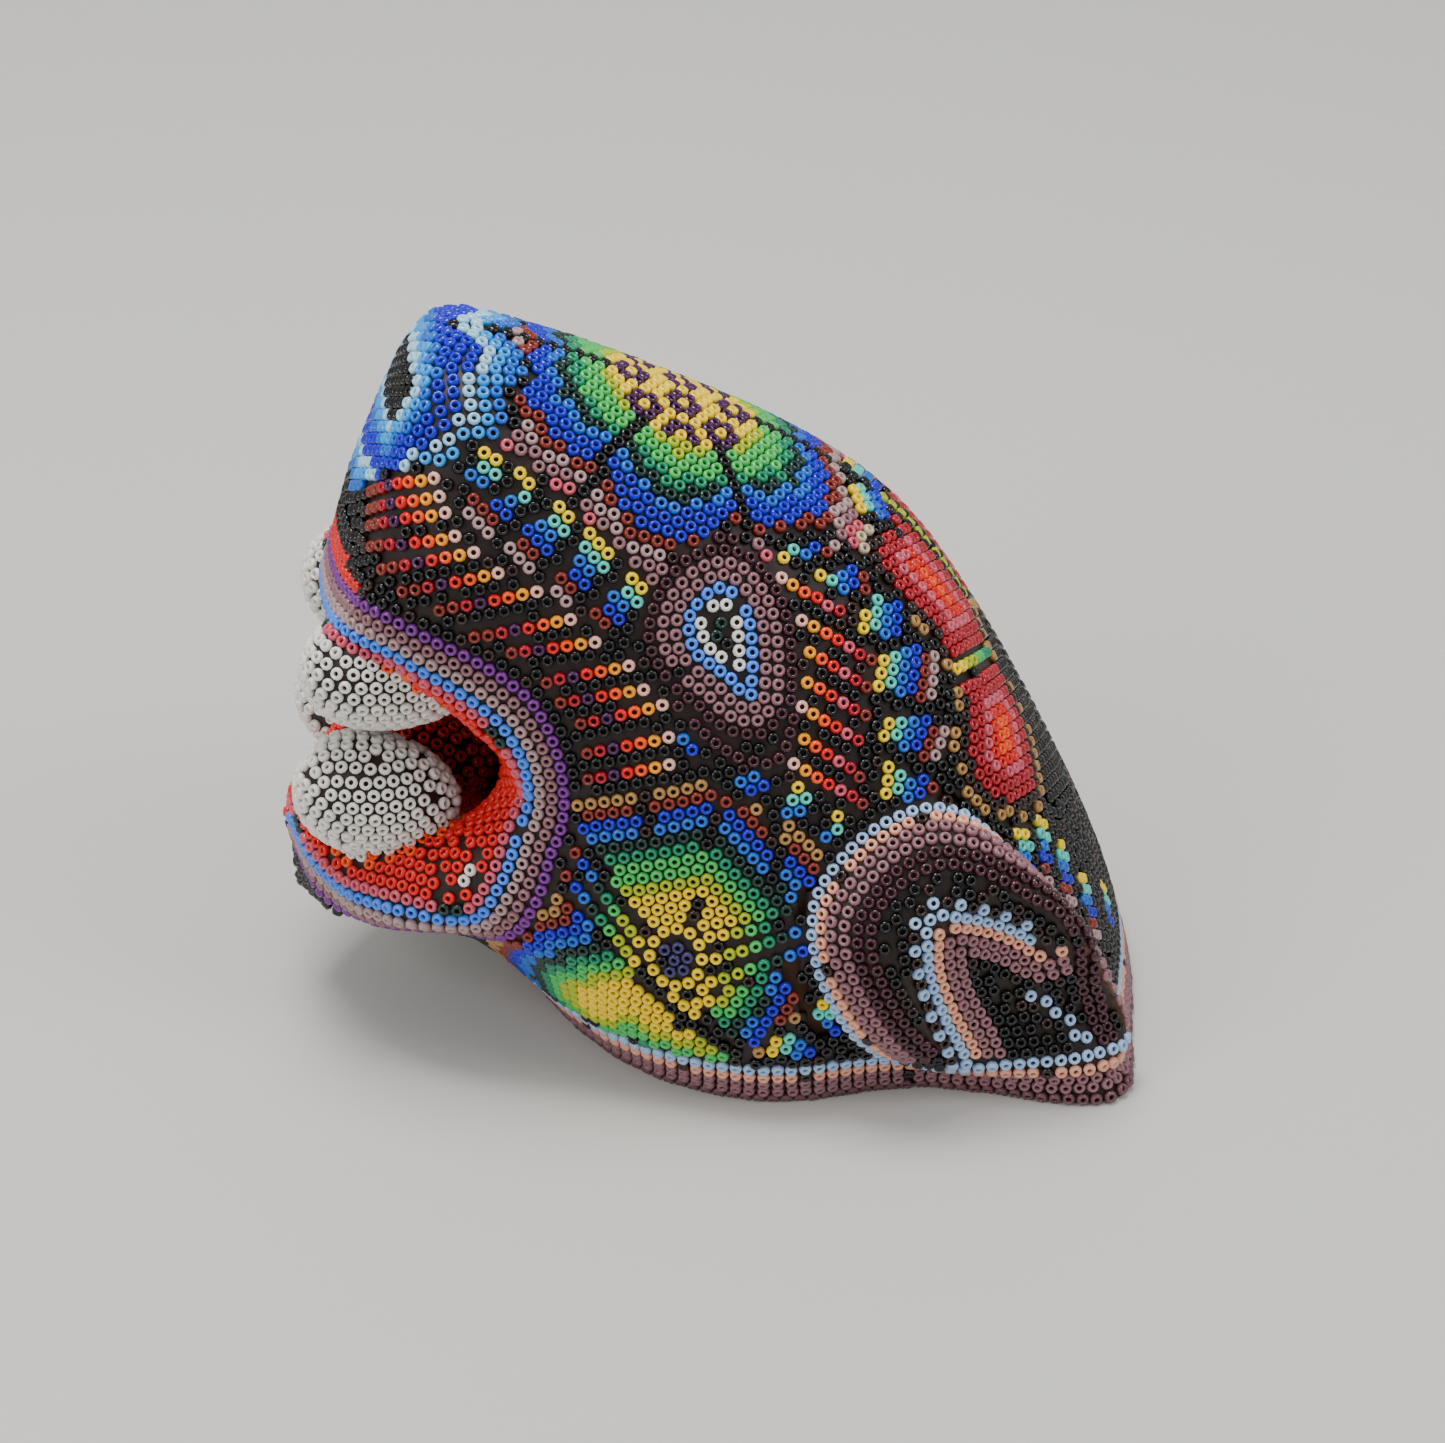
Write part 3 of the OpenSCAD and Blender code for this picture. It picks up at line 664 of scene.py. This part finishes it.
strand(path([(68.5, 0, 74), (74, 0, 67), (81, 0, 56.5)]), "lime")
strand(path([(76, 42.5, 56), (78.5, 30, 54), (81.5, 15.5, 52)]),
       lambda j: pick(j / 1.8, ["yellow", "lime", "green", "teal"]))
cell([(69.5, 0, 72.5), (75, 0, 65.5), (80.5, 1, 57), (81.5, 15.5, 52), (76.5, 42, 56), (72, 42, 62),
      (68, 39.5, 67.5), (66, 32.5, 71.5), (67, 21, 73)], (74, 21, 64), (72, 21, 66.5))
cell([(81.5, 15.5, 51.5), (85, 20, 43), (86.5, 31, 38), (85.5, 46, 35.5), (80.5, 63, 38.5),
      (76.5, 65.5, 43), (75, 60.5, 48), (75.5, 52, 52.5), (76, 42.5, 56)], (81, 41, 47), (79, 41, 50))
cell([(81.5, 0, 56), (82.5, 12, 51), (85, 17, 44.5), (87.5, 31, 37), (87.5, 44, 33.5), (91, 36, 24),
      (95, 20, 17.5), (96.5, 0, 14), (95, -20, 17.5), (91, -36, 24), (87.5, -44, 33.5),
      (87.5, -31, 37), (85, -17, 44.5), (82.5, -12, 51)], (89.5, 0, 36), (88, 0, 39))

# ---- Fangs, tongue and mouth lining ----
# White beads over the fangs, red ones over the tongue and the lining, and one orange row where
# the lining meets a fang.


def on_fangs(p):
    """White on a fang, else None."""
    name = field_at(snap(p)[0])
    return "white" if name and "fang" in name else None


for name in ("upper_fang_beads_left", "lower_fang_beads_left"):
    low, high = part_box(name)
    tip = snap(Vector(((low.x + high.x) / 2, low.y, (low.z + high.z) / 2)))[0]
    seeds = [lay(tip, "white"), lay(tip + Vector((PITCH, 0, 0)), "white")]
    fill(on_fangs, [s for s in seeds if s is not None])


def in_mouth(p):
    """Red on the lining, the lips' inside and the tongue, orange next to a fang, else None."""
    on = snap(p)[0]
    name = field_at(on)
    if name in ("mouth_beads", "lip_beads", "tongue_beads"):
        if name != "tongue_beads" and any("fang" in beads[b][3] for b in near(on, 1.35 * PITCH)):
            return "orange"
        return "red"
    return None


fill(in_mouth, range(len(beads)))

# ---- Background ----
# Everything else is black, row against row, with a smoky bead here and there.
noise = random.Random(11)


def background(p):
    """Black, or now and then smoky."""
    return "smoke" if noise.random() < 0.12 else "jet"


fill(background, range(len(beads)))

SNUG = 0.955 * PITCH      # beads closer than this are eased apart


def settle(rounds):
    """Eases crowded beads apart over the wax, as the needle does. The motifs' rows hardly move."""
    for _ in range(rounds):
        moved = []
        for b, (p, out, _, _, held) in enumerate(beads):
            push = Vector()
            for other in near(p, SNUG):
                gap = p - beads[other][0]
                if other != b and gap.length > 0:
                    share = held / (held + beads[other][4])
                    push += gap.normalized() * (SNUG - gap.length) * share
            if -0.5 * PITCH < p.y < -0.01 * PITCH:
                push.y -= (p.y + 0.5 * PITCH) * 0.5
            if push.length > 0.002 * PITCH:
                moved.append((b, p + push * 0.7, abs(p.y) < 0.01 * PITCH))
        for b, place, middle in moved:
            if middle:
                place.y = 0
            on, out = snap(place)
            if on.z < TABLE_GAP:
                continue
            if middle:
                on.y = 0
            cells[cell_of(beads[b][0])].remove(b)
            beads[b][0], beads[b][1] = on, out
            cells.setdefault(cell_of(on), []).append(b)


settle(12)
gaps = [v.co.copy() for v in skin.verts if v.co.y < 0.1 * PITCH]
gaps += [f.calc_center_median() for f in skin.faces if f.calc_center_median().y < 0.1 * PITCH]
for close in (0.9, 0.86, 0.82, 0.8):
    noise.shuffle(gaps)
    for place in gaps:
        if not near(place, close * PITCH):
            lay(place, in_mouth(place) or on_fangs(place) or background(place), close=close)
    settle(10)

# ---- Seed beads: the glass pieces ----
# One piece for each bead field of the frame. Every bead is the same drawn and tumbled ring,
# turned so that its hole faces out of the wax, a few degrees off true as a needle leaves it.
ring = bmesh.new()
profile = [(0.20, -0.45), (0.40, -0.48), (0.50, 0.02), (0.36, 0.46), (0.20, 0.30)]
corners = [ring.verts.new((x * BEAD, 0, z * TALL)) for x, z in profile]
edges = [ring.edges.new((a, b)) for a, b in zip(corners, corners[1:] + corners[:1])]
bmesh.ops.spin(ring, geom=[*corners, *edges], cent=(0, 0, 0), axis=(0, 0, 1), angle=math.tau,
               steps=10, use_merge=True, use_duplicate=False)
bmesh.ops.recalc_face_normals(ring, faces=ring.faces)
for f in ring.faces:
    f.smooth = True
bead_mesh = bpy.data.meshes.new("bead")
ring.to_mesh(bead_mesh)
ring.free()

# Glass, fire-polished by tumbling: IOR 1.52 and a hard small highlight on every bead.
CLEAR = ("grape", "plum", "rose", "dark_green", "bronze", "smoke", "iris", "brown", "crimson")
glass_of = {}
for name, code in GLASS.items():
    material, tree = new_material("seed_bead_glass_" + name)
    glass = add(tree, "ShaderNodeBsdfPrincipled", {}, {
        "Base Color": linear(code), "Roughness": 0.06 if name in CLEAR else 0.12, "IOR": 1.52})
    add(tree, "ShaderNodeOutputMaterial", {}, {"Surface": glass.outputs["BSDF"]})
    glass_of[name] = material

tilt = random.Random(7)
LEAN = 0.12               # most that a bead's hole leans off true, as a share of its height
pieces = {name: [] for name in FIELDS}
for on, out, glass, field, _ in beads:
    pieces[field].append((on, out, glass))
    if on.y < -0.1 * PITCH:
        other = field.replace("_left", "_right")
        pieces[other].append((Vector((on.x, -on.y, on.z)), Vector((out.x, -out.y, out.z)), glass))
for name, laid in pieces.items():
    used = sorted({glass for _, _, glass in laid})
    mesh = bpy.data.meshes.new(name.replace("_beads", "_seed_beads"))
    strung = bmesh.new()
    for on, out, glass in laid:
        one = bead_mesh.copy()
        lean = Vector((tilt.uniform(-1, 1), tilt.uniform(-1, 1), tilt.uniform(-1, 1))) * LEAN
        turn = (out + lean).to_track_quat("Z", "Y").to_matrix().to_4x4()
        one.transform(Matrix.Translation(on + out * TALL / 2) @ turn)
        one.polygons.foreach_set("material_index", [used.index(glass)] * len(one.polygons))
        strung.from_mesh(one)
        bpy.data.meshes.remove(one)
    strung.to_mesh(mesh)
    strung.free()
    for glass in used:
        mesh.materials.append(glass_of[glass])
    piece = bpy.data.objects.new(mesh.name, mesh)
    bpy.context.scene.collection.objects.link(piece)
    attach(piece, "root")
    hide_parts(name)
bpy.data.meshes.remove(bead_mesh)

# The wax piece is the outer skin, raised round the beads and closed with a back.
bare = [f for f in skin.faces if not field_at(f.calc_center_median())]
bmesh.ops.delete(skin, geom=bare, context="FACES")
for v in skin.verts:
    v.co += v.normal * SUNK
bmesh.ops.recalc_face_normals(skin, faces=skin.faces)
for f in skin.faces:
    f.smooth = True
wax_mesh = bpy.data.meshes.new("wax_bed_coat")
skin.to_mesh(wax_mesh)
skin.free()
wax_mesh.materials.append(beeswax_painted_shade)
wax_piece = bpy.data.objects.new("wax_bed_coat", wax_mesh)
bpy.context.scene.collection.objects.link(wax_piece)
back = wax_piece.modifiers.new("back", "SOLIDIFY")
back.thickness = 1.0 * MM
back.offset = -1
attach(wax_piece, "root")
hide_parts("wax_coat")

# ---- Table, light and camera ----
# A pale matt table that sweeps up behind the head, under wide soft lamps.
TABLE_REACH, WALL_HIGH, SWEEP = 1.6, 1.5, 0.5
sweep = bmesh.new()
line = [(-TABLE_REACH, 0.0), (0.55, 0.0)]
line += [(0.55 + SWEEP * math.sin(a), SWEEP - SWEEP * math.cos(a)) for a in
         (math.radians(10 * k) for k in range(1, 10))]
line += [(0.55 + SWEEP, WALL_HIGH)]
first = [sweep.verts.new((-2.0, y, z)) for y, z in line]
edges = [sweep.edges.new(pair) for pair in zip(first, first[1:])]
wide = bmesh.ops.extrude_edge_only(sweep, edges=edges)["geom"]
bmesh.ops.translate(sweep, verts=[g for g in wide if isinstance(g, bmesh.types.BMVert)], vec=(4.0, 0, 0))
bmesh.ops.recalc_face_normals(sweep, faces=sweep.faces)
for f in sweep.faces:
    f.smooth = True
floor_mesh = bpy.data.meshes.new("table_sweep")
sweep.to_mesh(floor_mesh)
sweep.free()
painted, tree = new_material("painted_board")
paint = add(tree, "ShaderNodeBsdfPrincipled", {}, {"Base Color": linear("#CFCDC8"), "Roughness": 0.55})
add(tree, "ShaderNodeOutputMaterial", {}, {"Surface": paint.outputs["BSDF"]})
floor_mesh.materials.append(painted)
floor = bpy.data.objects.new("table_sweep", floor_mesh)
bpy.context.scene.collection.objects.link(floor)

world = bpy.data.worlds.new("room")
bpy.context.scene.world = world
world.use_nodes = True
world.node_tree.nodes["Background"].inputs["Color"].default_value = linear("#E6E8EA")
world.node_tree.nodes["Background"].inputs["Strength"].default_value = 0.7
for name, place, size, watts in [("ceiling_lamp", (-0.15, 0.1, 1.1), 0.45, 10),
                                 ("window", (-0.9, -0.7, 0.8), 0.6, 5),
                                 ("far_lamp", (0.8, -0.5, 1.0), 0.5, 4)]:
    lamp = bpy.data.lights.new(name, "AREA")
    lamp.size = size
    lamp.energy = watts
    made = bpy.data.objects.new(name, lamp)
    made.location = place
    made.rotation_euler = (Vector((0, 0, 0.05)) - Vector(place)).to_track_quat("-Z", "Y").to_euler()
    bpy.context.scene.collection.objects.link(made)

AIM = Vector((1.6, 0, 45)) * MM
AZIMUTH, ELEVATION, DISTANCE = math.radians(-5), math.radians(30), 0.6
back_off = Vector((math.sin(AZIMUTH) * math.cos(ELEVATION), -math.cos(AZIMUTH) * math.cos(ELEVATION),
                   math.sin(ELEVATION)))
camera_data = bpy.data.cameras.new("camera")
camera_data.lens = 91.9
camera_data.sensor_width = 36
camera_data.clip_start = 0.01
camera = bpy.data.objects.new("camera", camera_data)
camera.location = AIM + back_off * DISTANCE
camera.rotation_euler = back_off.to_track_quat("Z", "Y").to_euler()
bpy.context.scene.collection.objects.link(camera)
bpy.context.scene.camera = camera
